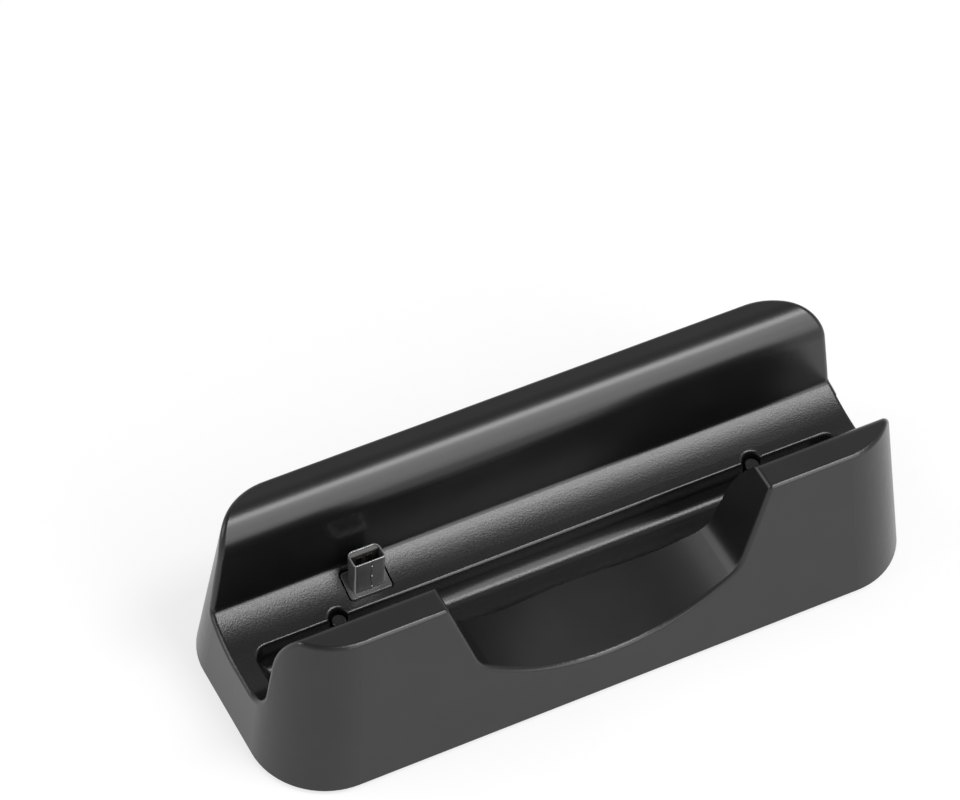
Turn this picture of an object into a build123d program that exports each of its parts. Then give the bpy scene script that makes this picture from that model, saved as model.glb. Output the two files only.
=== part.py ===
# Dock for a handheld console: a moulded housing with a trough, a charging plug and a power inlet.
# Millimetres. X runs along the trough, the finger cut-out faces -Y and Z is up.
# Heights are measured from the housing's base rim. The finished pieces are lifted by the feet.
import os
from math import asin, degrees, radians, sin, sqrt, tan

from build123d import *

os.makedirs("parts", exist_ok=True)

# Housing outside: a rounded box that narrows upwards
length = 155.0
depth = 58.3
height = 41.1
corner_radius = 17.0
corner_shrink = 1.7
end_draft = 6.1
front_draft = 7.7
back_draft = 7.1
wall = 2.0
edge_radius = 1.0

# Trough, open at both ends
trough_front = -12.85
trough_back = 12.7
trough_floor = 14.75
floor_start = -1.0
floor_sweep = 28.0
front_foot_radius = 6.0
back_foot_radius = 1.2
back_lean = 1.5
back_top_radius = 7.5
lip_edge = -17.15
lip_flare = 36.5
lip_flare_radius = 18.0
lip_edge_radius = 1.8

# Deeper pocket along the front of the trough
pocket_end_wall = 5.4
pocket_back = 2.4
pocket_floor = 7.3
pocket_round = 15.0
pocket_foot_radius = 3.0
pocket_end_radius = 3.2
pocket_end_slope = 55.0
pocket_end_drop = 3.0
pocket_edge_radius = 0.7

# Half-round notches in the pocket's back edge, with a post in each
notch_inset = 20.3
notch_radius = 2.2
notch_depth = 6.0
post_radius = 1.65
post_drop = 1.0
post_edge_radius = 0.3

# Finger cut-out in the front lip
cutout_floor = 10.9
cutout_arc = 52.0
cutout_half_width = 30.8
cutout_slant = 19.6
cutout_corner = 8.0
cutout_lip_corner = 1.2
cutout_reach = 8.0

# Base plate, set inside the rim
plate_recess = 0.3
plate_thickness = 1.8
plate_gap = 0.2
plate_boss_radius = 3.6
plate_boss_height = 1.0

# Feet and the screws under them
foot_end_inset = 15.7
foot_side_inset = 8.05
foot_radius = 4.0
foot_proud = 1.2
foot_recess = 0.4
foot_gap = 0.1
foot_edge_radius = 0.5
screw_radius = 1.25
screw_head_radius = 2.1
screw_head_height = 1.2
screw_reach = 7.0
screw_gap = 0.05
screw_head_gap = 0.3
screw_slot_width = 0.6
screw_slot_depth = 0.5
boss_radius = 3.2

# Plug, with its carrier in the trough's floor
plug_inset = 9.15
plug_front = 6.0
plug_width = 7.5
plug_depth = 4.4
plug_back_radius = 1.4
plug_front_radius = 0.8
plug_sheet = 0.35
plug_rim_radius = 0.12
plug_stand = 8.8
plug_root = 3.5
plug_gap = 0.05
carrier_width = 10.5
carrier_front = 4.5
carrier_back = 11.5
carrier_gap = 0.35
carrier_rise = 0.15
carrier_corner = 1.0
carrier_edge_radius = 0.25
flange_margin = 1.6
flange_thickness = 1.5
seat_gap = 0.2
blade_thickness = 0.9
blade_drop = 0.35
contact_width = 1.2
contact_thickness = 0.25
contact_pitch = 2.4
contact_drop = 1.0

# Plug's circuit board and its screws
plug_board_length = 28.0
plug_board_front = 5.0
plug_board_back = 20.0
board_thickness = 1.2
board_screw_span = 21.0
board_screw_y = 16.6
board_screw_radius = 1.0
board_screw_head_radius = 1.8
board_screw_head_height = 1.1
board_screw_reach = 6.0
board_boss_radius = 2.7
board_boss_height = 15.0

# Power inlet in the right end
inlet_y = 4.9
inlet_width = 7.4
inlet_height = 4.2
inlet_corner = 0.8
inlet_sheet = 0.3
inlet_depth = 5.8
inlet_set_back = 0.3
inlet_gap = 0.2
inlet_block = 1.2
inlet_tail = 0.6
inlet_rim_radius = 0.1
tongue_width = 4.8
tongue_thickness = 1.3
tongue_drop = 1.2
recess_front = 0.15
recess_back = 10.2
recess_tilt = 7.4

# Inlet's circuit board, held between two posts and the base plate
inlet_board_length = 18.6
inlet_board_front = 0.6
inlet_board_back = 15.6
inlet_board_margin = 0.4
post_y = 13.4
post_inset = 3.0
board_post_radius = 2.0
pin_radius = 0.8
pin_gap = 0.1
pad_radius = 2.5
pad_height = 0.2
capacitor_radius = 2.5
capacitor_height = 5.4
capacitor_edge = 0.4

# Wires between the boards
lead_radius = 0.6
lead_pitch = 2.4
lead_y = 7.6
lead_height = 5.6
lead_bend = 3.0
lead_rise = 6.0
lead_tail = 5.0
lead_slot_gap = 0.5

# Stiffening ribs in the housing's underside
rib_thickness = 1.4
rib_count = 3

# Levels and places that follow from the sizes above
reach = length
plate_top = plate_recess + plate_thickness
boss_foot = plate_top + plate_boss_height
screw_seat = plate_recess + foot_recess
foot_x = length / 2 - foot_end_inset
foot_y = depth / 2 - foot_side_inset
foot_places = [(x, y) for x in (-foot_x, foot_x) for y in (-foot_y, foot_y)]


def end_face(z):
    """Half the housing's length at a height."""
    return length / 2 - z * tan(radians(end_draft))


def floor_height(y, below=0):
    """Height of the trough's rising floor, or of a surface that follows it below."""
    return trough_floor + floor_sweep - sqrt((floor_sweep + below) ** 2 - (y - floor_start) ** 2)


pocket_half_length = end_face(trough_floor) - pocket_end_wall
notch_x = pocket_half_length - notch_inset
notch_places = [(-notch_x, pocket_back), (notch_x, pocket_back)]
plug_x = plug_inset - notch_x
crease_height = floor_height(trough_back)
plug_foot = floor_height(plug_front) + carrier_rise
flange_front = pocket_back + wall + seat_gap
flange_top = floor_height(flange_front, wall) - seat_gap
plug_board_top = flange_top - flange_thickness
plug_board_foot = plug_board_top - board_thickness
blade_face = plug_depth / 2 - plug_sheet - plug_gap - blade_thickness
plug_frame = Pos(plug_x, plug_front + plug_depth / 2, plug_foot) * Rot(-back_lean, 0, 0)
board_screw_places = [(plug_x + side * board_screw_span / 2, board_screw_y) for side in (-1, 1)]
inlet_board_top = plate_top + pad_height + board_thickness
inlet_z = inlet_board_top + inlet_height / 2
inlet_mouth = end_face(0) - inlet_z * tan(radians(recess_tilt)) - inlet_set_back
inlet_back = inlet_mouth - inlet_depth
inlet_board_right = end_face(inlet_board_top) - wall - inlet_board_margin
inlet_board_left = inlet_board_right - inlet_board_length
rib_start = plug_x + plug_board_length / 2 + lead_rise
rib_step = (inlet_board_left - lead_rise - rib_start) / (rib_count + 1)
back_rib_x = [rib_start + rib_step * (place + 1) for place in range(rib_count)]
post_places = [(inlet_board_left + post_inset, post_y), (inlet_board_right - post_inset, post_y)]


def body(inset, low, high):
    """The drafted outside between two heights, set in all round."""
    sections = []
    for z in (low, high):
        front = -depth / 2 + z * tan(radians(front_draft)) + inset
        back = depth / 2 - z * tan(radians(back_draft)) - inset
        radius = corner_radius - corner_shrink * z / height - inset
        outline = RectangleRounded(2 * (end_face(z) - inset), back - front, radius)
        sections.append(Pos(0, (front + back) / 2, z) * outline)
    return loft(sections, ruled=True)


def grown(sketch, grow, corners):
    """The sketch grown by a wall, with its (x, y, radius, turn) corners rounded to follow it."""
    if grow:
        sketch = offset(sketch, grow, kind=Kind.INTERSECTION)
    for x, y, radius, turn in corners:
        if radius + turn * grow > 0:
            corner = sketch.vertices().sort_by_distance((x, y, 0))[0]
            sketch = fillet(corner, radius + turn * grow)
    return sketch


def block(x0, x1, y0, y1, z0, z1):
    """A box between two corners."""
    return Pos((x0 + x1) / 2, (y0 + y1) / 2, (z0 + z1) / 2) * Box(x1 - x0, y1 - y0, z1 - z0)


def rod(x, y, low, high, radius):
    """An upright cylinder between two heights."""
    return Pos(x, y, (low + high) / 2) * Cylinder(radius, high - low)


def trough(grow):
    """The cut that planes the top and runs the trough along X, grown for the wall around it."""
    flare_foot = height - (trough_front - lip_edge) / tan(radians(lip_flare))
    back_top = trough_back + (height - crease_height) * tan(radians(back_lean))
    lip = Polyline(
        (-reach, height + reach),
        (-reach, height),
        (lip_edge, height),
        (trough_front, flare_foot),
        (trough_front, trough_floor),
        (floor_start, trough_floor),
    )
    turn = degrees(asin((trough_back - floor_start) / floor_sweep))
    rise = CenterArc((floor_start, trough_floor + floor_sweep), floor_sweep, -90, turn)
    back = Polyline((trough_back, crease_height), (back_top, height), (reach, height), (reach, height + reach))
    lid = Line((reach, height + reach), (-reach, height + reach))
    corners = (
        (lip_edge, height, lip_edge_radius, -1),
        (trough_front, flare_foot, lip_flare_radius, -1),
        (trough_front, trough_floor, front_foot_radius, 1),
        (trough_back, crease_height, back_foot_radius, 1),
        (back_top, height, back_top_radius, -1),
    )
    section = grown(make_face([lip, rise, back, lid]), grow, corners)
    return extrude(Plane.YZ * section, reach, both=True)


def pocket(grow):
    """The round-bottomed pocket, its ends rounded and sloped below, grown for the wall around it."""
    middle = pocket_floor + pocket_round
    top = middle + wall
    front = pocket_back - pocket_round
    bottom = CenterArc((pocket_back, middle), pocket_round, 180, 90)
    sides = Polyline((front, middle), (front, top), (pocket_back, top), (pocket_back, pocket_floor))
    section = grown(make_face([bottom, sides]), 0, [(pocket_back, pocket_floor, pocket_foot_radius, 1)])
    if grow:
        section = offset(section, grow, kind=Kind.INTERSECTION)
    slot = extrude(Plane.YZ * section, pocket_half_length + grow, both=True)
    uprights = slot.edges().filter_by(Axis.Z).group_by(Axis.Y)[-1]
    slot = fillet(uprights, pocket_end_radius + grow)
    run = 1 / tan(radians(pocket_end_slope))
    low = pocket_half_length + grow / sin(radians(pocket_end_slope)) - (trough_floor - pocket_end_drop) * run
    high = low + height * run
    ends = make_face(Polyline((-low, 0), (low, 0), (high, height), (-high, height), close=True))
    return slot & extrude(Plane.XZ * ends, reach, both=True)


def cutout(grow):
    """The finger cut-out through the front lip, grown for the wall around it."""
    low = cutout_floor + cutout_arc - sqrt(cutout_arc**2 - cutout_half_width**2)
    top = cutout_half_width + (height - low) * tan(radians(cutout_slant))
    left = Polyline((-reach, height + reach), (-reach, height), (-top, height), (-cutout_half_width, low))
    bottom = ThreePointArc((-cutout_half_width, low), (0, cutout_floor), (cutout_half_width, low))
    right = Polyline((cutout_half_width, low), (top, height), (reach, height), (reach, height + reach))
    lid = Line((reach, height + reach), (-reach, height + reach))
    corners = []
    for side in (-1, 1):
        corners.append((side * cutout_half_width, low, cutout_corner, 1))
        corners.append((side * top, height, cutout_lip_corner, -1))
    section = grown(make_face([left, bottom, right, lid]), grow, corners)
    back = trough_front + cutout_reach
    return extrude(Plane.XZ.offset(-back) * section, reach)


def recess():
    """The shallow sloping flat around the inlet, from the rim up past the trough's floor."""
    foot = end_face(0)
    lean = foot - height * tan(radians(recess_tilt))
    section = make_face(Polyline((foot, 0), (lean, height), (reach, height), (reach, 0), close=True))
    wedge = extrude(Plane.XZ.offset(-recess_back) * section, recess_back - recess_front)
    return wedge - block(0, reach, recess_front, recess_back, crease_height + back_foot_radius, height)


def inlet_bar(inset, back, front):
    """The socket's section drawn out along X."""
    outline = RectangleRounded(inlet_width - 2 * inset, inlet_height - 2 * inset, inlet_corner - inset)
    return extrude(Plane.YZ.offset(back) * Pos(inlet_y, inlet_z) * outline, front - back)


def rib(x, front, back):
    """A stiffening rib across the hollow underside."""
    half = rib_thickness / 2
    return block(x - half, x + half, front, back, plate_top, height)


def lead_slot(x):
    """The gap in a rib that lets the wires through."""
    side = lead_radius + lead_slot_gap
    return block(x - wall, x + wall, lead_y - side, lead_y + lead_pitch + side, 0, lead_height + side)


def notch_relief(gap):
    """The space that the notches and the wall around them take up in the hollow underside."""
    places = [Pos(x, y, 0) for x, y in notch_places]
    low = floor_height(pocket_back) - notch_depth - wall - gap
    return places * rod(0, 0, low, height, notch_radius + wall + gap)


def cavity():
    """The hollow underside, with the walls, bosses, posts and ribs left standing."""
    hollow = body(wall, -wall, height) - trough(wall) - pocket(wall) - cutout(wall)
    hollow -= notch_relief(0)
    for x, y in foot_places:
        hollow -= rod(x, y, boss_foot, height, boss_radius)
    for x, y in board_screw_places:
        hollow -= rod(x, y, plug_board_top, plug_board_top + board_boss_height, board_boss_radius)
    for x, y in post_places:
        hollow -= rod(x, y, inlet_board_top, crease_height, board_post_radius)
    for x in back_rib_x:
        hollow -= rib(x, pocket_back, depth / 2) - lead_slot(x)
    for x in (-notch_x, notch_x):
        hollow -= rib(x, -depth / 2, trough_front)
    return hollow


def carrier_bar(inset, low, high):
    """The round-cornered square of the carrier's hole drawn out between two heights."""
    width = carrier_width - 2 * inset
    outline = RectangleRounded(width, carrier_back - carrier_front - 2 * inset, carrier_corner - inset)
    return Pos(plug_x, (carrier_front + carrier_back) / 2, low) * extrude(outline, high - low)


def housing():
    """The one moulding: drafted outside, trough, pocket, cut-out and ribbed underside."""
    shell = body(0, 0, height + wall) - trough(0) - pocket(0) - cutout(0)
    skin = shell.faces().filter_by(GeomType.BSPLINE)
    cuts = shell.faces().filter_by(lambda face: face.geom_type != GeomType.BSPLINE and face.center().Z > wall)
    outer_edges = skin.edges().filter_by(lambda edge: edge in cuts.edges())
    shell = fillet(outer_edges, edge_radius)
    step = floor_height(pocket_back)
    for x, y in notch_places:
        shell -= rod(x, y, step - notch_depth, step + notch_depth, notch_radius)
    rising_floor = shell.faces().sort_by_distance((0, carrier_back, floor_height(carrier_back)))[0]
    brim = pocket_back + 2 * notch_radius
    straight = pocket_half_length - pocket_end_radius
    step_edges = rising_floor.edges().filter_by(
        lambda edge: edge.center().Y < brim and abs(edge.center().X) < straight
    )
    shell = fillet(step_edges, pocket_edge_radius)
    for x, y in notch_places:
        post = rod(x, y, pocket_floor, step - post_drop, post_radius)
        shell += fillet(post.edges().sort_by(Axis.Z)[-1], post_edge_radius)
    shell -= cavity()
    shell -= recess()
    shell -= inlet_bar(-inlet_gap, inlet_back, reach)
    shell -= carrier_bar(0, plug_board_top, height / 2)
    for x, y in foot_places:
        shell -= rod(x, y, 0, boss_foot + screw_reach + wall, screw_radius + screw_gap)
    for x, y in board_screw_places:
        bore_top = plug_board_top + board_screw_reach + wall
        shell -= rod(x, y, plug_board_foot, bore_top, board_screw_radius + screw_gap)
    for x, y in post_places:
        shell += rod(x, y, plate_top + 2 * pad_height, inlet_board_top + wall, pin_radius)
    return shell


def base_plate():
    """The flat cover inside the rim, with raised screw seats, foot recesses and board pads."""
    plate = body(wall + plate_gap, plate_recess, plate_top)
    for x, y in foot_places:
        plate += rod(x, y, plate_recess, boss_foot, plate_boss_radius)
        plate -= rod(x, y, 0, screw_seat, foot_radius + foot_gap)
        plate -= rod(x, y, 0, screw_seat + screw_head_height, screw_head_radius + screw_head_gap)
        plate -= rod(x, y, 0, height, screw_radius + screw_gap)
    for x, y in post_places:
        plate += rod(x, y, plate_recess, plate_top + pad_height, pad_radius)
    return plate


def foot(x, y):
    """A round rubber foot with a softened lower edge."""
    pad = rod(x, y, -foot_proud, screw_seat, foot_radius)
    return fillet(pad.edges().sort_by(Axis.Z)[0], foot_edge_radius)


def screws(places, seat, tip, radius, head_radius, head_height):
    """Like slotted screws driven upwards, their heads below the seat."""
    low = seat - head_height
    half = screw_slot_width / 2
    made = []
    for x, y in places:
        shape = rod(x, y, seat, tip, radius) + rod(x, y, low, seat, head_radius)
        shape -= block(x - head_radius, x + head_radius, y - half, y + half, low, low + screw_slot_depth)
        made.append(shape)
    return Compound(made)


def plug_outline(inset):
    """The plug's section: square at the front, rounded at the back."""
    outline = Rectangle(plug_width - 2 * inset, plug_depth - 2 * inset)
    outline = fillet(outline.vertices().group_by(Axis.Y)[-1], plug_back_radius - inset)
    return fillet(outline.vertices().group_by(Axis.Y)[0], plug_front_radius - inset)


def plug_bar(inset, low, high):
    """The plug's section drawn out along its leaning axis."""
    return plug_frame * Pos(0, 0, low) * extrude(plug_outline(inset), high - low)


def plug_carrier():
    """The plate in the floor's square hole, level with the floor, with a flange below it."""
    rim = carrier_width / 2 + flange_margin
    plate = carrier_bar(carrier_gap, plug_board_top, height)
    plate -= Pos(0, 0, carrier_rise) * trough(0)
    plate = fillet(plate.faces().sort_by(Axis.Z)[-1].edges(), carrier_edge_radius)
    flange_back = carrier_back + flange_margin
    plate += block(plug_x - rim, plug_x + rim, flange_front, flange_back, plug_board_top, flange_top)
    return plate - plug_bar(-plug_gap, -height, height) - notch_relief(seat_gap)


def plug_shell():
    """The folded sheet tube, open at the top."""
    tube = plug_bar(0, -plug_root, plug_stand) - plug_bar(plug_sheet, -height, height)
    return fillet(tube.faces().sort_by(Axis.Z)[-1].edges(), plug_rim_radius)


def plug_strip(side):
    """One contact strip on the front of the tongue's blade, with its tail above the board."""
    x = side * contact_pitch / 2
    half = contact_width / 2
    tail = plug_board_top - plug_foot + seat_gap
    tip = plug_stand - blade_drop - contact_drop
    return plug_frame * block(x - half, x + half, blade_face - contact_thickness, blade_face, tail, tip)


def plug_tongue():
    """The insulator: a root that fills the shell and a blade along its back that carries the contacts."""
    filling = plug_bar(plug_sheet + plug_gap, -plug_root, plug_stand - blade_drop)
    mouth = plug_frame * block(-plug_width, plug_width, -plug_depth, blade_face, 0, height)
    return filling - mouth - plug_strip(-1) - plug_strip(1)


def plug_board():
    """The board below the carrier, with holes for its screws."""
    left = plug_x - plug_board_length / 2
    right = plug_x + plug_board_length / 2
    board = block(left, right, plug_board_front, plug_board_back, plug_board_foot, plug_board_top)
    for x, y in board_screw_places:
        board -= rod(x, y, 0, height, board_screw_radius + screw_gap)
    return board - notch_relief(seat_gap)


def inlet_shell():
    """The socket's sheet tube, open to the right."""
    tube = inlet_bar(0, inlet_back, inlet_mouth) - inlet_bar(inlet_sheet, 0, reach)
    return fillet(tube.faces().sort_by(Axis.X)[-1].edges(), inlet_rim_radius)


def inlet_strip(side):
    """One contact strip under the socket's tongue, bent down to the board behind it."""
    y = inlet_y + side * contact_pitch / 2
    half = contact_width / 2
    under = inlet_z - tongue_thickness / 2
    tail = inlet_back - inlet_tail
    tip = inlet_mouth - tongue_drop - contact_drop
    strip = block(tail, tip, y - half, y + half, under - contact_thickness, under)
    return strip + block(tail, tail + contact_thickness, y - half, y + half, inlet_board_top, under)


def inlet_body():
    """The socket's insulator: a block at the back and a tongue."""
    half = tongue_width / 2
    deep = tongue_thickness / 2
    rear = inlet_bar(inlet_sheet + plug_gap, inlet_back, inlet_back + inlet_block)
    front = inlet_mouth - tongue_drop
    tongue = block(inlet_back, front, inlet_y - half, inlet_y + half, inlet_z - deep, inlet_z + deep)
    return rear + tongue - inlet_strip(-1) - inlet_strip(1)


def inlet_board():
    """The socket's board, located by the housing's two pins."""
    low = inlet_board_top - board_thickness
    high = inlet_board_top
    board = block(inlet_board_left, inlet_board_right, inlet_board_front, inlet_board_back, low, high)
    for x, y in post_places:
        board -= rod(x, y, 0, height, pin_radius + pin_gap)
    return board


def inlet_capacitor():
    """The can midway between the two posts."""
    x = (post_places[0][0] + post_places[1][0]) / 2
    can = rod(x, post_y, inlet_board_top, inlet_board_top + capacitor_height, capacitor_radius)
    return fillet(can.edges().sort_by(Axis.Z)[-1], capacitor_edge)


def lead(y):
    """A wire from the inlet's board to the underside of the plug's board."""
    low = inlet_board_top + lead_radius
    high = plug_board_foot - lead_radius
    right = inlet_board_left + lead_tail
    left = plug_x + plug_board_length / 2 - lead_tail
    route = FilletPolyline(
        (right, y, low),
        (inlet_board_left, y, low),
        (inlet_board_left - lead_rise, y, lead_height),
        (left + lead_tail + lead_rise, y, lead_height),
        (left + lead_tail, y, high),
        (left, y, high),
        radius=lead_bend,
    )
    return sweep(Plane(route @ 0, z_dir=route % 0) * Circle(lead_radius), route)


# The pieces, lifted so that the feet stand on the table
pieces = {
    "housing": housing(),
    "base_plate": base_plate(),
    "plug_carrier": plug_carrier(),
    "plug_shell": plug_shell(),
    "plug_tongue": plug_tongue(),
    "plug_contact_left": plug_strip(-1),
    "plug_contact_right": plug_strip(1),
    "plug_board": plug_board(),
    "inlet_shell": inlet_shell(),
    "inlet_body": inlet_body(),
    "inlet_contact_front": inlet_strip(-1),
    "inlet_contact_back": inlet_strip(1),
    "inlet_board": inlet_board(),
    "inlet_capacitor": inlet_capacitor(),
    "power_lead": lead(lead_y),
    "ground_lead": lead(lead_y + lead_pitch),
}
for x, y in foot_places:
    row = "front" if y < 0 else "back"
    side = "left" if x < 0 else "right"
    pieces[f"foot_{row}_{side}"] = foot(x, y)
base_seat = screw_seat + screw_head_height
base_tip = boss_foot + screw_reach
base_head = (screw_head_radius, screw_head_height)
pieces["base_screws"] = screws(foot_places, base_seat, base_tip, screw_radius, *base_head)
board_tip = plug_board_top + board_screw_reach
board_head = (board_screw_head_radius, board_screw_head_height)
board_screw = (plug_board_foot, board_tip, board_screw_radius)
pieces["plug_board_screws"] = screws(board_screw_places, *board_screw, *board_head)
for name, shape in pieces.items():
    export_step(Pos(0, 0, foot_proud) * shape, f"parts/{name}.step")
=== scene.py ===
import math

import bpy
from mathutils import Matrix, Vector


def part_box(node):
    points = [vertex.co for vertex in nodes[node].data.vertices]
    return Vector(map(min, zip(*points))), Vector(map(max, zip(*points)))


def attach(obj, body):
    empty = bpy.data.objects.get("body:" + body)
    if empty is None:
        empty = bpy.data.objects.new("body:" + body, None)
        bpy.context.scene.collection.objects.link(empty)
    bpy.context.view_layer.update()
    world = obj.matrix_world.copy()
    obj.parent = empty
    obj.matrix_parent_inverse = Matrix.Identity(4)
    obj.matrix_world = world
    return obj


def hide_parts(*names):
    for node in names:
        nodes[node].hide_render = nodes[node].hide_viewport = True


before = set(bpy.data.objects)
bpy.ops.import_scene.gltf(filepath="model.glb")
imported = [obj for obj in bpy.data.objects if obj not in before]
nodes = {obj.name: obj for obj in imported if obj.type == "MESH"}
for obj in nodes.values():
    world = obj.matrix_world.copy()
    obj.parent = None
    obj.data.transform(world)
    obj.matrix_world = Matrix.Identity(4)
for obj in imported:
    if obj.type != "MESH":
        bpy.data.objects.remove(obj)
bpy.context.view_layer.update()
scene = bpy.context.scene

# Housing: the one moulding that makes the outside, the trough, its pocket and the finger cut-out.
# It is injection moulded in a nearly black plastic. The mould is spark eroded to a fine grain in
# the trough, and polished towards the top edges and over the front.
HOUSING_TONES = ((0.0064, 0.0064, 0.0066, 1), (0.0082, 0.0082, 0.0085, 1))
HOUSING_GLOSS = (0.276, 0.294)
GRAIN_SIZE = 0.0004
GRAIN_DEPTH = 0.000032
GRAIN_FULL_BELOW = 0.020
GRAIN_GONE_ABOVE = 0.027
GRAIN_FULL_BEHIND = -0.007
GRAIN_GONE_BEFORE = -0.011
GRAIN_LEFT_ELSEWHERE = 0.01
CLOUD_SIZE = 0.012


def add_node(tree, kind, sockets=None, **settings):
    """A shader or geometry node with its settings, and its sockets set to values or outputs."""
    made = tree.nodes.new(kind)
    for name, value in settings.items():
        setattr(made, name, value)
    for name, value in (sockets or {}).items():
        if isinstance(value, bpy.types.NodeSocket):
            tree.links.new(value, made.inputs[name])
        else:
            made.inputs[name].default_value = value
    return made


def new_finish(name, **constants):
    """A material with the given constants on its shader's sockets."""
    material = bpy.data.materials.new(name)
    material.use_nodes = True
    shader = material.node_tree.nodes["Principled BSDF"]
    for socket, value in constants.items():
        shader.inputs[socket.replace("_", " ")].default_value = value
    return material, material.node_tree, shader


def piece_place(tree, stretch=(1, 1, 1)):
    """Points on the piece in its own metres, stretched along its axes where marks run one way."""
    place = add_node(tree, "ShaderNodeTexCoord").outputs["Object"]
    return add_node(tree, "ShaderNodeMapping", {"Vector": place, "Scale": stretch}).outputs[0]


def mottle(tree, size, detail=2.0, roughness=0.5, stretch=(1, 1, 1)):
    """Uneven marks of about one size, fixed to the piece."""
    sockets = {"Vector": piece_place(tree, stretch), "Scale": 1 / size}
    sockets.update({"Detail": detail, "Roughness": roughness})
    return add_node(tree, "ShaderNodeTexNoise", sockets).outputs["Fac"]


def spread(tree, value, low, high, edges=(0.35, 0.65)):
    """A value stretched to run between two levels, from one edge to the other."""
    sockets = {"Value": value, "From Min": edges[0], "From Max": edges[1]}
    sockets.update({"To Min": low, "To Max": high})
    return add_node(tree, "ShaderNodeMapRange", sockets).outputs["Result"]


def two_tone(tree, value, tones, edges=(0.35, 0.65)):
    """One tone running into another as a value rises."""
    ramp = add_node(tree, "ShaderNodeValToRGB", {"Fac": value})
    for stop, tone, edge in zip(ramp.color_ramp.elements, tones, edges):
        stop.position = edge
        stop.color = tone
    return ramp.outputs["Color"]


def moulded(name, tones, gloss, grain_size, grain_depth, stretch=(1, 1, 1), **constants):
    """Moulded or worked stock: two near tones clouded together, uneven gloss and a raised grain."""
    material, tree, shader = new_finish(name, **constants)
    cloud = mottle(tree, CLOUD_SIZE, detail=4.0)
    tree.links.new(two_tone(tree, cloud, tones), shader.inputs["Base Color"])
    grain = mottle(tree, grain_size, roughness=0.6, stretch=stretch)
    tree.links.new(spread(tree, grain, *gloss), shader.inputs["Roughness"])
    bump = add_node(tree, "ShaderNodeBump", {"Height": grain, "Distance": grain_depth})
    tree.links.new(bump.outputs["Normal"], shader.inputs["Normal"])
    return material


def reckon(tree, operation, *values):
    """One sum or test on numbers."""
    made = add_node(tree, "ShaderNodeMath", operation=operation)
    for socket, value in zip(made.inputs, values):
        if isinstance(value, bpy.types.NodeSocket):
            tree.links.new(value, socket)
        else:
            socket.default_value = value
    return made.outputs[0]


def finish_node(name, material):
    """Gives a CAD node its material."""
    nodes[name].data.materials.clear()
    nodes[name].data.materials.append(material)


housing_plastic = moulded(
    "housing_plastic", HOUSING_TONES, HOUSING_GLOSS, GRAIN_SIZE, GRAIN_DEPTH, IOR=1.5
)
housing_tree = housing_plastic.node_tree
point = add_node(housing_tree, "ShaderNodeSeparateXYZ", {"Vector": piece_place(housing_tree)})
fades_up = (GRAIN_FULL_BELOW, GRAIN_GONE_ABOVE)
fades_in = (GRAIN_GONE_BEFORE, GRAIN_FULL_BEHIND)
low_down = spread(housing_tree, point.outputs["Z"], 1.0, 0.0, fades_up)
behind = spread(housing_tree, point.outputs["Y"], 0.0, 1.0, fades_in)
in_trough = reckon(housing_tree, "MULTIPLY", low_down, behind)
grain_strength = reckon(
    housing_tree, "MULTIPLY_ADD", in_trough, 1 - GRAIN_LEFT_ELSEWHERE, GRAIN_LEFT_ELSEWHERE
)
housing_tree.links.new(grain_strength, housing_tree.nodes["Bump"].inputs["Strength"])
finish_node("housing", housing_plastic)

# Base plate: the flat cover set inside the housing's rim, with seats for the feet.
# It is moulded in the same black plastic, with a coarser, matte face.
# The four base screws hold it to bosses inside the housing.
BASE_TONES = ((0.0095, 0.0095, 0.0095, 1), (0.0135, 0.0135, 0.0135, 1))
base_plastic = moulded(
    "base_plastic", BASE_TONES, gloss=(0.52, 0.64), grain_size=0.0004, grain_depth=0.00003, IOR=1.5
)
finish_node("base_plate", base_plastic)

# Feet: four round pads of soft black rubber with a rounded edge.
# They are die cut, dull all over, and glued into shallow seats over the base screws.
FOOT_TONES = ((0.006, 0.006, 0.006, 1), (0.0095, 0.0095, 0.0095, 1))
foot_rubber = moulded(
    "foot_rubber", FOOT_TONES, gloss=(0.72, 0.86), grain_size=0.00035, grain_depth=0.00002, IOR=1.5
)
for name in nodes:
    if name.startswith("foot_"):
        finish_node(name, foot_rubber)

# Screws: four under the feet hold the base plate, and two inside hold the plug's board.
# They are cold headed from steel wire and zinc plated, with turned marks and a dull grey bloom.
SCREW_TONES = ((0.42, 0.42, 0.44, 1), (0.56, 0.56, 0.58, 1))
screw_steel = moulded(
    "screw_steel",
    SCREW_TONES,
    gloss=(0.28, 0.42),
    grain_size=0.00025,
    grain_depth=0.000006,
    stretch=(1, 1, 6),
    Metallic=1.0,
)
finish_node("base_screws", screw_steel)
finish_node("plug_board_screws", screw_steel)

# Plug carrier: the small square plate in the trough's floor that holds the plug upright.
# It is moulded in dark grey plastic, a shade paler than the housing, and floats in its hole on a
# flange below.
CARRIER_TONES = ((0.06, 0.06, 0.06, 1), (0.075, 0.075, 0.075, 1))
carrier_plastic = moulded(
    "carrier_plastic",
    CARRIER_TONES,
    gloss=(0.22, 0.3),
    grain_size=0.0003,
    grain_depth=0.00001,
    IOR=1.5,
)
finish_node("plug_carrier", carrier_plastic)

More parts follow.
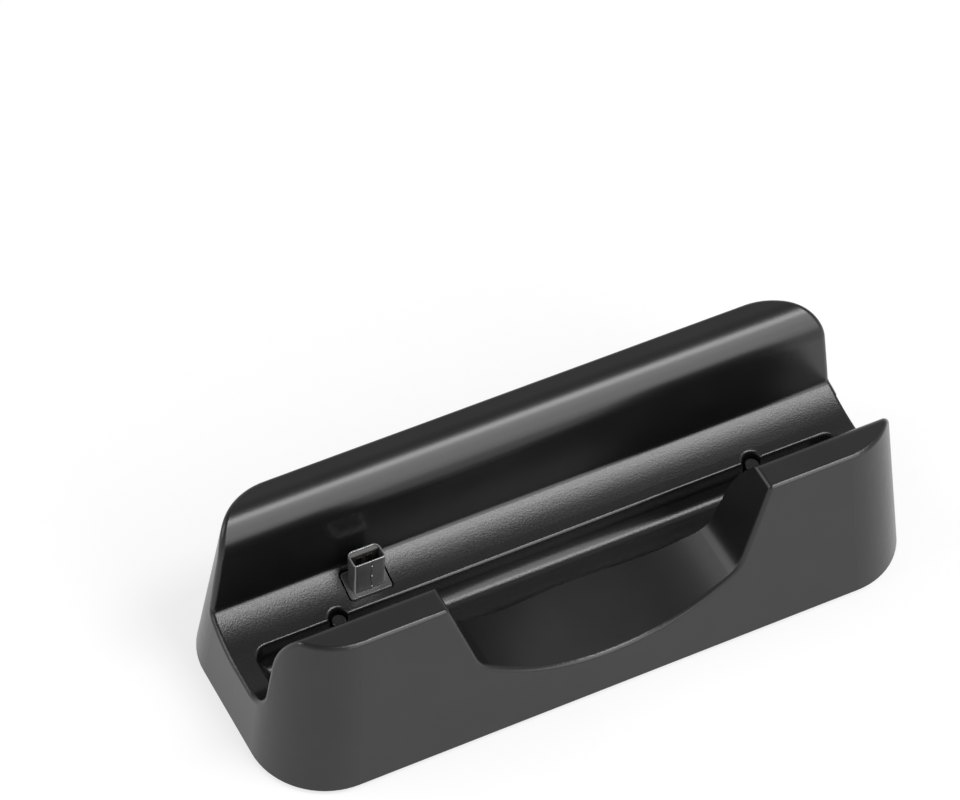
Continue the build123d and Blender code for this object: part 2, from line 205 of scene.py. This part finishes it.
# Plug shell: the upright tube that goes into the console's charging socket.
# It is folded from thin steel sheet with its seam down the front, and plated in dark satin nickel.
# The seam has a locking tab and three spot welds, and a painted highlight runs down the front
# folds.
SHELL_TONES = ((0.4, 0.4, 0.405, 1), (0.5, 0.5, 0.505, 1))
SEAM_TONE = (0.02, 0.02, 0.02, 1)
EDGE_HIGHLIGHT_TONE = (0.95, 0.95, 0.95, 1)
EDGE_HIGHLIGHT_ROUGHNESS = 0.62
HIGHLIGHT_REACH_LEFT = 0.00042
HIGHLIGHT_REACH_RIGHT = 0.00021
HIGHLIGHT_REACH_BACK = 0.000546
SEAM_OFFSET = 0.00035
SEAM_HALF_WIDTH = 0.00005
TAB_SHIFT = 0.0003
TAB_HALF_HEIGHT = 0.0014
PLUG_LEAN = math.radians(1.5)
WELD_COUNT = 3
WELD_PITCH = 0.0033
WELD_DROP = 0.0018
WELD_RADIUS = 0.00026
WELD_RISE = 0.00016

shell_low, shell_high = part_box("plug_shell")
seam_x = (shell_low[0] + shell_high[0]) / 2 + SEAM_OFFSET
tab_z = shell_high[2] - WELD_DROP - WELD_PITCH
plug_steel = moulded(
    "plug_steel",
    SHELL_TONES,
    gloss=(0.45, 0.53),
    grain_size=0.0006,
    grain_depth=0.000004,
    stretch=(1, 1, 0.2),
    Metallic=1.0,
)
shell_steel = plug_steel.copy()
shell_steel.name = "plug_shell_steel"
shell_tree = shell_steel.node_tree
spot = add_node(shell_tree, "ShaderNodeSeparateXYZ", {"Vector": piece_place(shell_tree)})
tab = reckon(shell_tree, "COMPARE", spot.outputs["Z"], tab_z, TAB_HALF_HEIGHT)
seam_line = reckon(shell_tree, "MULTIPLY_ADD", tab, -TAB_SHIFT, seam_x)
on_line = reckon(shell_tree, "COMPARE", spot.outputs["X"], seam_line, SEAM_HALF_WIDTH)
shell_middle = (shell_low[1] + shell_high[1]) / 2
on_front = reckon(shell_tree, "LESS_THAN", spot.outputs["Y"], shell_middle)
seam = reckon(shell_tree, "MULTIPLY", on_line, on_front)
# Painted highlight: the front corner folds get a near-white, duller tone that stands in for the
# light they catch.
near_left = reckon(shell_tree, "LESS_THAN", spot.outputs["X"], shell_low[0] + HIGHLIGHT_REACH_LEFT)
near_right = reckon(shell_tree, "GREATER_THAN", spot.outputs["X"], shell_high[0] - HIGHLIGHT_REACH_RIGHT)
near_side = reckon(shell_tree, "MAXIMUM", near_left, near_right)
near_front = reckon(shell_tree, "LESS_THAN", spot.outputs["Y"], shell_low[1] + HIGHLIGHT_REACH_BACK)
painted_edge_highlight = reckon(shell_tree, "MULTIPLY", near_side, near_front)


def mark(material, socket, share, marked):
    """Changes what feeds a socket of a finish to a marked tone or value, where the share is 1."""
    tree = material.node_tree
    target = tree.nodes["Principled BSDF"].inputs[socket]
    kind, plain_input, result = ("RGBA", 6, 2) if target.type == "RGBA" else ("FLOAT", 2, 0)
    mix = add_node(tree, "ShaderNodeMix", {"Factor": share}, data_type=kind)
    tree.links.new(target.links[0].from_socket, mix.inputs[plain_input])
    mix.inputs[plain_input + 1].default_value = marked
    tree.links.new(mix.outputs[result], target)


mark(shell_steel, "Base Color", seam, SEAM_TONE)
# Paints the highlight tone and its roughness onto the front corner folds.
mark(shell_steel, "Base Color", painted_edge_highlight, EDGE_HIGHLIGHT_TONE)
mark(shell_steel, "Roughness", painted_edge_highlight, EDGE_HIGHLIGHT_ROUGHNESS)
finish_node("plug_shell", shell_steel)


def geometry_tree(name, *inputs):
    """An empty geometry tree with named inputs, its group input and its group output."""
    tree = bpy.data.node_groups.new(name, "GeometryNodeTree")
    for label, kind in inputs:
        tree.interface.new_socket(label, in_out="INPUT", socket_type="NodeSocket" + kind)
    tree.interface.new_socket("Geometry", in_out="OUTPUT", socket_type="NodeSocketGeometry")
    return tree, tree.nodes.new("NodeGroupInput").outputs, tree.nodes.new("NodeGroupOutput").inputs


def grow_piece(name, tree, material, **sizes):
    """Runs a geometry tree with its sizes and keeps what it makes as a plain mesh."""
    seed = bpy.data.objects.new(name + "_seed", bpy.data.meshes.new(name + "_seed"))
    scene.collection.objects.link(seed)
    modifier = seed.modifiers.new("grow", "NODES")
    modifier.node_group = tree
    for item in tree.interface.items_tree:
        if item.in_out == "INPUT":
            modifier[item.identifier] = material if item.name == "Finish" else sizes[item.name]
    scene_view = bpy.context.evaluated_depsgraph_get()
    mesh = bpy.data.meshes.new_from_object(seed.evaluated_get(scene_view))
    mesh.name = name
    bpy.data.objects.remove(seed)
    piece = bpy.data.objects.new(name, mesh)
    scene.collection.objects.link(piece)
    return piece


weld_tree, weld_in, weld_out = geometry_tree(
    "weld_row",
    ("Count", "Int"),
    ("First", "Vector"),
    ("Step", "Vector"),
    ("Size", "Vector"),
    ("Finish", "Material"),
)
row = add_node(
    weld_tree,
    "GeometryNodeMeshLine",
    {"Count": weld_in["Count"], "Start Location": weld_in["First"], "Offset": weld_in["Step"]},
    mode="OFFSET",
)
dot = add_node(weld_tree, "GeometryNodeMeshUVSphere", {"Segments": 20, "Rings": 10, "Radius": 1.0})
dots = add_node(
    weld_tree,
    "GeometryNodeInstanceOnPoints",
    {"Points": row.outputs[0], "Instance": dot.outputs[0], "Scale": weld_in["Size"]},
)
solid = add_node(weld_tree, "GeometryNodeRealizeInstances", {"Geometry": dots.outputs[0]})
smooth = add_node(weld_tree, "GeometryNodeSetShadeSmooth", {"Geometry": solid.outputs[0]})
finished = add_node(
    weld_tree,
    "GeometryNodeSetMaterial",
    {"Geometry": smooth.outputs[0], "Material": weld_in["Finish"]},
)
weld_tree.links.new(finished.outputs[0], weld_out["Geometry"])

lean_slope = math.tan(PLUG_LEAN)
face_at_top = shell_low[1] + (shell_high[2] - shell_low[2]) * lean_slope
welds = grow_piece(
    "plug_seam_welds",
    weld_tree,
    plug_steel,
    Count=WELD_COUNT,
    First=(seam_x, face_at_top - WELD_DROP * lean_slope, shell_high[2] - WELD_DROP),
    Step=(0.0, -WELD_PITCH * lean_slope, -WELD_PITCH),
    Size=(WELD_RADIUS, WELD_RISE, WELD_RADIUS),
)
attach(welds, "root")

# Plug tongue: the insulating block in the plug's foot, with a thin blade up the back of the shell.
# It is moulded in black glass-filled resin, streaked by its fibres, with painted light making it
# paler along its top.
TONGUE_TONES = ((0.014, 0.014, 0.014, 1), (0.022, 0.022, 0.022, 1))
TOP_LIGHT_TONE = (0.13, 0.13, 0.13, 1)
TOP_LIGHT_DEPTH = 0.0002
tongue_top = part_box("plug_tongue")[1][2]
tongue_resin = moulded(
    "plug_insulator",
    TONGUE_TONES,
    gloss=(0.4, 0.55),
    grain_size=0.0002,
    grain_depth=0.000008,
    stretch=(1, 1, 0.35),
    IOR=1.55,
)
tongue_tree = tongue_resin.node_tree
tongue_point = add_node(tongue_tree, "ShaderNodeSeparateXYZ", {"Vector": piece_place(tongue_tree)})
# Painted light: the top of the blade is given a paler tone, as if lit from above.
top_light_edges = (tongue_top - 2 * TOP_LIGHT_DEPTH, tongue_top - TOP_LIGHT_DEPTH)
painted_top_light = spread(tongue_tree, tongue_point.outputs["Z"], 0.0, 1.0, top_light_edges)
mark(tongue_resin, "Base Color", painted_top_light, TOP_LIGHT_TONE)
finish_node("plug_tongue", tongue_resin)

# Plug contacts: fine springs on the front of the blade, in a left and a right set.
# They are stamped from brass strip, dulled by use, narrowed at the tip and soldered to the board.
PIN_COUNT = 3
PIN_WIDTH = 0.00022
PIN_CORNER = 0.000044
PIN_CLEARANCE = 0.00001
PIN_TAPER = (0.85, 1.0)
PIN_TIP_SHARE = 0.45
BRASS_TONES = ((0.17, 0.125, 0.06, 1), (0.24, 0.18, 0.09, 1))
brass = moulded(
    "contact_brass",
    BRASS_TONES,
    gloss=(0.3, 0.42),
    grain_size=0.0003,
    grain_depth=0.000002,
    stretch=(1, 1, 0.2),
    Metallic=1.0,
)

pin_tree, pin_in, pin_out = geometry_tree(
    "contact_pins",
    ("Count", "Int"),
    ("Root", "Vector"),
    ("Knee", "Vector"),
    ("Tip", "Vector"),
    ("Step", "Vector"),
    ("Width", "Float"),
    ("Finish", "Material"),
)
foot_run = add_node(
    pin_tree,
    "GeometryNodeCurvePrimitiveLine",
    {"Start": pin_in["Root"], "End": pin_in["Knee"]},
)
long_run = add_node(
    pin_tree,
    "GeometryNodeCurvePrimitiveLine",
    {"Start": pin_in["Knee"], "End": pin_in["Tip"]},
)
fine_run = add_node(
    pin_tree, "GeometryNodeResampleCurve", {"Curve": long_run.outputs[0], "Count": 16}
)
along = add_node(pin_tree, "GeometryNodeSplineParameter").outputs["Factor"]
taper = spread(pin_tree, along, 1.0, PIN_TIP_SHARE, edges=PIN_TAPER)
narrowed = add_node(
    pin_tree, "GeometryNodeSetCurveRadius", {"Curve": fine_run.outputs[0], "Radius": taper}
)
strip = add_node(
    pin_tree,
    "GeometryNodeCurvePrimitiveQuadrilateral",
    {"Width": pin_in["Width"], "Height": pin_in["Width"]},
)
eased = add_node(
    pin_tree, "GeometryNodeFilletCurve", {"Curve": strip.outputs[0], "Radius": PIN_CORNER}
)
one_pin = add_node(pin_tree, "GeometryNodeJoinGeometry")
for pin_run in (narrowed, foot_run):
    bar = add_node(
        pin_tree,
        "GeometryNodeCurveToMesh",
        {"Curve": pin_run.outputs[0], "Profile Curve": eased.outputs[0], "Fill Caps": True},
    )
    pin_tree.links.new(bar.outputs[0], one_pin.inputs[0])
pin_row = add_node(
    pin_tree,
    "GeometryNodeMeshLine",
    {"Count": pin_in["Count"], "Offset": pin_in["Step"]},
    mode="OFFSET",
)
pins = add_node(
    pin_tree,
    "GeometryNodeInstanceOnPoints",
    {"Points": pin_row.outputs[0], "Instance": one_pin.outputs[0]},
)
pin_solid = add_node(pin_tree, "GeometryNodeRealizeInstances", {"Geometry": pins.outputs[0]})
pin_finish = add_node(
    pin_tree,
    "GeometryNodeSetMaterial",
    {"Geometry": pin_solid.outputs[0], "Material": pin_in["Finish"]},
)
pin_tree.links.new(pin_finish.outputs[0], pin_out["Geometry"])

for side in ("left", "right"):
    node = "plug_contact_" + side
    low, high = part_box(node)
    half = PIN_WIDTH / 2
    run = high[2] - low[2] - PIN_WIDTH
    root_y = low[1] + half + PIN_CLEARANCE
    knee = (low[0] + half, root_y + PIN_WIDTH * lean_slope, low[2] + PIN_WIDTH)
    contacts = grow_piece(
        "plug_pins_" + side,
        pin_tree,
        brass,
        Count=PIN_COUNT,
        Root=(low[0] + half, root_y, low[2]),
        Knee=knee,
        Tip=(low[0] + half, knee[1] + run * lean_slope, high[2]),
        Step=((high[0] - low[0] - PIN_WIDTH) / (PIN_COUNT - 1), 0.0, 0.0),
        Width=PIN_WIDTH,
    )
    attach(contacts, "root")
    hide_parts(node)

# Boards: one under the plug and one behind the inlet, joined by the two leads.
# They are glass-fibre sheet under a green solder mask, in which the copper tracks show as lines.
MASK_TONES = ((0.008, 0.06, 0.022, 1), (0.016, 0.105, 0.04, 1))
MASK_GLOSS = (0.28, 0.42)
WEAVE_SIZE = 0.0006
TRACK_SHARE = 0.35
TRACK_DEPTH = 0.00002
board, board_tree, board_shader = new_finish("board", IOR=1.5)
brick = {"Vector": piece_place(board_tree), "Scale": 420.0, "Mortar Size": 0.09}
brick.update({"Brick Width": 0.9, "Row Height": 0.42})
tracks = add_node(board_tree, "ShaderNodeTexBrick", brick)
weave = mottle(board_tree, WEAVE_SIZE)
relief = reckon(board_tree, "MULTIPLY_ADD", tracks.outputs["Fac"], TRACK_SHARE, weave)
mask_tone = two_tone(board_tree, relief, MASK_TONES, edges=(0.4, 0.8))
board_tree.links.new(mask_tone, board_shader.inputs["Base Color"])
board_tree.links.new(spread(board_tree, weave, *MASK_GLOSS), board_shader.inputs["Roughness"])
track_bump = add_node(board_tree, "ShaderNodeBump", {"Height": relief, "Distance": TRACK_DEPTH})
board_tree.links.new(track_bump.outputs["Normal"], board_shader.inputs["Normal"])
finish_node("plug_board", board)
finish_node("inlet_board", board)

# Inlet shell: the socket for a charging cable, in the shallow recess of the right end.
# It is drawn from steel sheet, plated in satin nickel, and soldered to the board behind it.
finish_node("inlet_shell", plug_steel)

# Inlet body: the insulating block at the back of the socket, with the tongue for its contacts.
# It is moulded in black glass-filled resin, dull and faintly streaked along the socket.
BODY_TONES = ((0.009, 0.009, 0.009, 1), (0.016, 0.016, 0.016, 1))
black_resin = moulded(
    "inlet_insulator",
    BODY_TONES,
    gloss=(0.4, 0.55),
    grain_size=0.0002,
    grain_depth=0.000008,
    stretch=(0.35, 1, 1),
    IOR=1.55,
)
finish_node("inlet_body", black_resin)

# Inlet contacts: a front and a back set of fine strips under the tongue, with feet on the board.
# They are stamped from the same dull brass strip as the plug's contacts.
for place in ("front", "back"):
    node = "inlet_contact_" + place
    low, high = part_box(node)
    half = PIN_WIDTH / 2
    level = high[2] - half
    contacts = grow_piece(
        "inlet_pins_" + place,
        pin_tree,
        brass,
        Count=PIN_COUNT,
        Root=(low[0] + half, low[1] + half, low[2]),
        Knee=(low[0] + half, low[1] + half, level),
        Tip=(high[0], low[1] + half, level),
        Step=(0.0, (high[1] - low[1] - PIN_WIDTH) / (PIN_COUNT - 1), 0.0),
        Width=PIN_WIDTH,
    )
    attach(contacts, "root")
    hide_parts(node)

# Capacitor: the small can on the inlet's board that steadies the supply.
# It is drawn from bare aluminium, with fine marks round its side from the drawing.
CAN_TONES = ((0.62, 0.62, 0.64, 1), (0.74, 0.74, 0.76, 1))
can = moulded(
    "can_aluminium",
    CAN_TONES,
    gloss=(0.25, 0.4),
    grain_size=0.0004,
    grain_depth=0.000004,
    stretch=(0.3, 0.3, 5),
    Metallic=1.0,
)
finish_node("inlet_capacitor", can)

# Leads: two thin wires from board to board, laid through slots in the ribs.
# Each is stranded copper drawn through soft plastic, one red and one black, faintly wavy.
RED_TONES = ((0.36, 0.018, 0.018, 1), (0.46, 0.03, 0.028, 1))
BLACK_TONES = ((0.01, 0.01, 0.01, 1), (0.018, 0.018, 0.018, 1))
LEADS = (
    ("power_lead", "red_insulation", RED_TONES),
    ("ground_lead", "black_insulation", BLACK_TONES),
)
for name, finish, tones in LEADS:
    insulation = moulded(
        finish,
        tones,
        gloss=(0.38, 0.5),
        grain_size=0.0008,
        grain_depth=0.00001,
        stretch=(0.3, 1, 1),
        IOR=1.5,
    )
    finish_node(name, insulation)

# Floor: a plain pale sheet of paper that the dock stands on.
# It stays nearly white where it is looked at or mirrored, and keeps a soft shadow.
FLOOR_HALF = 4.0
FLOOR_COLOUR = (0.86, 0.86, 0.86, 1)
FLOOR_GLOW = 0.7
floor_mesh = bpy.data.meshes.new("floor")
corners = [(-FLOOR_HALF, -FLOOR_HALF, 0), (FLOOR_HALF, -FLOOR_HALF, 0)]
corners += [(FLOOR_HALF, FLOOR_HALF, 0), (-FLOOR_HALF, FLOOR_HALF, 0)]
floor_mesh.from_pydata(corners, [], [(0, 1, 2, 3)])
floor = bpy.data.objects.new("floor", floor_mesh)
scene.collection.objects.link(floor)
paper, paper_tree, paper_shader = new_finish("floor_paper", Roughness=0.9, Base_Color=FLOOR_COLOUR)
ray = add_node(paper_tree, "ShaderNodeLightPath")
seen = reckon(paper_tree, "MAXIMUM", ray.outputs["Is Camera Ray"], ray.outputs["Is Glossy Ray"])
seen = reckon(paper_tree, "MAXIMUM", seen, ray.outputs["Is Transmission Ray"])
glow = add_node(paper_tree, "ShaderNodeEmission", {"Color": (1, 1, 1, 1), "Strength": 1.0})
share = reckon(paper_tree, "MULTIPLY", seen, FLOOR_GLOW)
both = add_node(paper_tree, "ShaderNodeMixShader", {"Fac": share})
paper_tree.links.new(paper_shader.outputs[0], both.inputs[1])
paper_tree.links.new(glow.outputs[0], both.inputs[2])
paper_tree.links.new(both.outputs[0], paper_tree.nodes["Material Output"].inputs["Surface"])
floor_mesh.materials.append(paper)


# Light: a bright strip high in front, with three dimmer sheets below it down to the floor.
# A soft sheet stands at the left, a faint one high at the back, and the room is pale near the
# ground and dim overhead.
LIGHT_DISTANCE = 1.5
LEFT_DISTANCE = 1.35
ROOM_LOW_LEVEL = 0.9
ROOM_HIGH_LEVEL = 0.2
SOFTBOXES = (
    # name, direction, distance, width, depth and level
    ("strip_front", (0.316, -0.281, 0.906), LIGHT_DISTANCE, 0.7, 0.337, 12.8),
    ("sheet_front_high", (0.316, -0.536, 0.783), LIGHT_DISTANCE, 0.75, 0.567, 3.8),
    ("sheet_front_middle", (0.316, -0.796, 0.517), LIGHT_DISTANCE, 0.85, 0.638, 3.0),
    ("sheet_front_low", (0.316, -0.93, 0.19), LIGHT_DISTANCE, 1.1, 0.5, 2.0),
    ("sheet_left", (-1.0, 0.35, 0.8), LEFT_DISTANCE, 0.8, 0.8, 3.0),
    ("sheet_back", (0.316, 0.56, 0.766), LIGHT_DISTANCE, 1.2, 0.8, 0.2),
)


def softbox(name, direction, distance, width, depth, level):
    """An area light that faces the dock, its width along X and its face as bright as the level."""
    lamp = bpy.data.lights.new(name, "AREA")
    lamp.shape = "RECTANGLE"
    lamp.size = width
    lamp.size_y = depth
    lamp.energy = level * math.pi * width * depth
    light = bpy.data.objects.new(name, lamp)
    away = Vector(direction).normalized()
    across = Vector((1, 0, 0)) if abs(away.x) < 0.7 else Vector((0, 1, 0))
    across = (across - across.dot(away) * away).normalized()
    light.location = away * distance
    light.rotation_mode = "QUATERNION"
    turn = Matrix((across, away.cross(across), away)).transposed()
    light.rotation_quaternion = turn.to_quaternion()
    light.visible_camera = False
    scene.collection.objects.link(light)


for values in SOFTBOXES:
    softbox(*values)

room = bpy.data.worlds.new("room")
scene.world = room
room.use_nodes = True
room_tree = room.node_tree
background = room_tree.nodes["Background"]
sky = add_node(room_tree, "ShaderNodeTexCoord").outputs["Generated"]
rise = add_node(room_tree, "ShaderNodeSeparateXYZ", {"Vector": sky}).outputs["Z"]
room_level = spread(room_tree, rise, ROOM_LOW_LEVEL, ROOM_HIGH_LEVEL, edges=(0.05, 0.95))
room_tree.links.new(room_level, background.inputs["Strength"])
background.inputs["Color"].default_value = (1, 1, 1, 1)

# Camera: a long lens from the front left and well above, with a slight roll.
# Its place and angles were fitted to the photographed dock.
LENS = 184.76
AZIMUTH, ELEVATION, ROLL = (math.radians(angle) for angle in (-29.428, 50.006, 3.225))
ACROSS, RISE, DISTANCE, LIFT = -0.015339, 0.040987, 1.07222, 0.0012
camera_data = bpy.data.cameras.new("camera")
camera = bpy.data.objects.new("camera", camera_data)
scene.collection.objects.link(camera)
scene.camera = camera
camera_data.sensor_width = 36.0
camera_data.lens = LENS
camera_data.clip_start = 0.05
camera_data.clip_end = 50
flat = math.cos(ELEVATION)
back = Vector((math.sin(AZIMUTH) * flat, -math.cos(AZIMUTH) * flat, math.sin(ELEVATION)))
level_right = Vector((math.cos(AZIMUTH), math.sin(AZIMUTH), 0))
level_up = back.cross(level_right)
right = level_right * math.cos(ROLL) + level_up * math.sin(ROLL)
up = -level_right * math.sin(ROLL) + level_up * math.cos(ROLL)
camera.location = ACROSS * right + RISE * up + DISTANCE * back + Vector((0, 0, LIFT))
camera.rotation_mode = "QUATERNION"
camera.rotation_quaternion = Matrix((right, up, back)).transposed().to_quaternion()

scene.view_settings.view_transform = "Standard"
